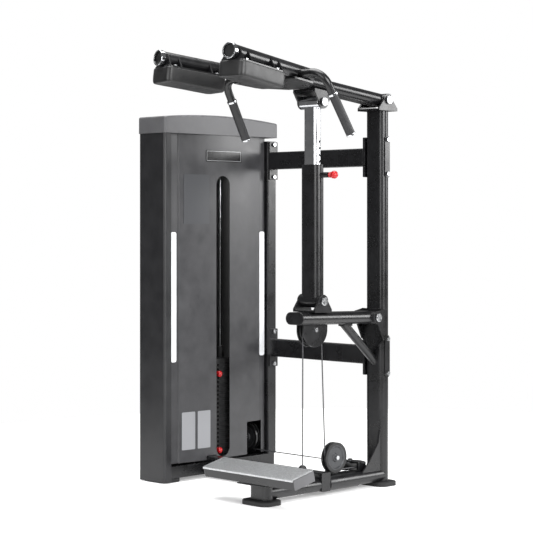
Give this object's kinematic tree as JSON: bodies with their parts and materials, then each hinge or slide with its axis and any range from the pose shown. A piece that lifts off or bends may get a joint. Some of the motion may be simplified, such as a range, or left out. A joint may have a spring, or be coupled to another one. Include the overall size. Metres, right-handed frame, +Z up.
{
  "type": "standing calf raise machine",
  "caption": "Standing calf raise machine: shoulder pads on a pivoting arm, a telescopic strut, a cable-linked lower arm, a foot tread and a shrouded weight stack.",
  "frame": {"origin": "on the floor, on the axis of the rear column, at the centre of its foot's lower face", "axes": "+Z up; the arms reach toward -Y, where the user stands facing +Y; the weight tower stands at -X"},
  "size_m": [1.1084, 1.1156, 1.7679],
  "materials": {
    "black_frame": "textured black powder coat",
    "grey_cover": "powder-coated sheet steel",
    "cap_plastic": "moulded cap",
    "end_caps": "moulded end caps",
    "black_plastic": "moulded plastic",
    "white_inserts": "glossy",
    "badge": "bare plate",
    "notice": "bare plates",
    "chrome": "polished chrome",
    "bright_bolts": "zinc-plated bolts",
    "steel_cable": "coated steel cable",
    "pulley_nylon": "moulded nylon",
    "red_plastic": "glossy red over a steel pin",
    "rubber": "matt rubber",
    "foam_grips": "ribbed rubber grips",
    "upholstery": "synthetic leather over foam",
    "iron_plates": "black cast iron",
    "tread": "ribbed aluminium tread"
  },
  "bodies": {
    "frame": {"arm_rest": "black_frame", "base_brackets": "black_frame", "base_frame": "black_frame", "blank_badge": "badge", "blank_plates": "notice", "column_brackets": "black_frame", "cross_beams": "black_frame", "frame_bolts": "bright_bolts", "guide_rods": "chrome", "loop_cable": "steel_cable", "panel_inserts": "white_inserts", "pulley_axles": "bright_bolts", "rear_column": "black_frame", "resting_plates": "iron_plates", "rubber_buffers": "rubber", "rubber_feet": "rubber", "run_cable": "steel_cable", "stack_cable": "steel_cable", "tower_cap": "cap_plastic", "tower_covers": "grey_cover", "tower_frame": "black_frame", "tower_panel": "grey_cover", "tread_end_caps": "end_caps", "tread_plate": "tread", "tread_tray": "black_frame", "upper_pivot_bolt": "bright_bolts"},
    "lower_arm": {"lower_arm_beam": "black_frame", "lower_arm_brackets": "black_frame", "lower_arm_bolts": "bright_bolts", "strut_foot_bolt": "bright_bolts"},
    "upper_arm": {"upper_arm_beam": "black_frame", "upper_arm_brackets": "black_frame", "strut_top_bolt": "bright_bolts", "grip_bar": "black_frame", "hand_grips": "foam_grips", "grip_fittings": "chrome", "pad_tubes": "black_frame", "pad_boards": "black_frame", "pad_bolts": "bright_bolts", "left_shoulder_pad": "upholstery", "right_shoulder_pad": "upholstery", "tube_end_rings": "chrome", "tube_end_plugs": "black_plastic"},
    "strut": {"strut_outer_tube": "black_frame", "strut_guide": "black_plastic", "strut_inner_tube": "chrome"},
    "height_plunger": {"height_pin": "red_plastic"},
    "arm_pulley": {"moving_pulley": "pulley_nylon"},
    "front_pulley": {"base_front_pulley": "pulley_nylon"},
    "side_pulley": {"base_side_pulley": "pulley_nylon"},
    "low_pulley": {"tower_low_pulley": "pulley_nylon"},
    "rear_top_pulley": {"top_rear_pulley": "pulley_nylon"},
    "front_top_pulley": {"top_front_pulley": "pulley_nylon"},
    "lifted_stack": {"lifted_plates": "iron_plates", "head_plate": "iron_plates", "selector_stem": "chrome"},
    "stack_selector": {"selector_pin": "red_plastic"},
    "parked_pin": {"spare_pin": "red_plastic"}
  },
  "joints": [
    {"name": "arm_swing", "type": "hinge", "parent": "frame", "child": "lower_arm", "pos_m": [0, -0.066, 0.707], "axis": [-1, 0, 0], "range_deg": [0, 9], "deforming": ["loop_cable"]},
    {"name": "upper_swing", "type": "hinge", "parent": "frame", "child": "upper_arm", "pos_m": [0, 0, 1.616], "axis": [-1, 0, 0], "range_deg": [0, 7.4]},
    {"name": "strut_foot_swing", "type": "hinge", "parent": "lower_arm", "child": "strut", "pos_m": [0, -0.397, 0.786], "axis": [-1, 0, 0], "range_deg": [-10.3, 0]},
    {"name": "height_pin_pull", "type": "slide", "parent": "strut", "child": "height_plunger", "axis": [1, 0, 0], "range_m": [0, 0.006]},
    {"name": "arm_pulley_spin", "type": "hinge", "parent": "lower_arm", "child": "arm_pulley", "pos_m": [0, -0.40004, 0.66973], "axis": [-1, 0, 0], "range_deg": [-66.7, 0]},
    {"name": "front_pulley_spin", "type": "hinge", "parent": "frame", "child": "front_pulley", "pos_m": [0, -0.27, 0.141], "axis": [-1, 0, 0], "range_deg": [0, 113.4]},
    {"name": "side_pulley_spin", "type": "hinge", "parent": "frame", "child": "side_pulley", "pos_m": [-0.0535, -0.1125, 0.0875], "axis": [0, 0, -1], "range_deg": [0, 113.4]},
    {"name": "low_pulley_spin", "type": "hinge", "parent": "frame", "child": "low_pulley", "pos_m": [-0.716, -0.059, 0.141], "axis": [0, -1, 0], "range_deg": [0, 113.4]},
    {"name": "rear_top_pulley_spin", "type": "hinge", "parent": "frame", "child": "rear_top_pulley", "pos_m": [-0.75779, -0.1112, 1.398], "axis": [-0.9758, -0.2188, 0], "range_deg": [0, 113.4]},
    {"name": "front_top_pulley_spin", "type": "hinge", "parent": "frame", "child": "front_top_pulley", "pos_m": [-0.72671, -0.2498, 1.398], "axis": [-0.9758, -0.2188, 0], "range_deg": [0, 113.4]},
    {"name": "stack_lift", "type": "slide", "parent": "frame", "child": "lifted_stack", "axis": [0, 0, 1], "range_m": [0, 0.105], "deforming": ["stack_cable"]},
    {"name": "selector_pin_pull", "type": "slide", "parent": "lifted_stack", "child": "stack_selector", "axis": [1, 0, 0], "range_m": [0, 0.09]},
    {"name": "spare_pin_pull", "type": "slide", "parent": "frame", "child": "parked_pin", "axis": [1, 0, 0], "range_m": [0, 0.06]}
  ],
  "couplings": [
    {"joint": "upper_swing", "follows": "arm_swing", "ratio": 0.815},
    {"joint": "strut_foot_swing", "follows": "arm_swing", "ratio": -1.1325},
    {"joint": "arm_pulley_spin", "follows": "arm_swing", "ratio": -7.1869},
    {"joint": "stack_lift", "follows": "arm_swing", "m_per_rad": 0.662},
    {"joint": "front_pulley_spin", "follows": "arm_swing", "ratio": 12.374},
    {"joint": "side_pulley_spin", "follows": "arm_swing", "ratio": 12.374},
    {"joint": "low_pulley_spin", "follows": "arm_swing", "ratio": 12.374},
    {"joint": "rear_top_pulley_spin", "follows": "arm_swing", "ratio": 12.374},
    {"joint": "front_top_pulley_spin", "follows": "arm_swing", "ratio": 12.374}
  ]
}
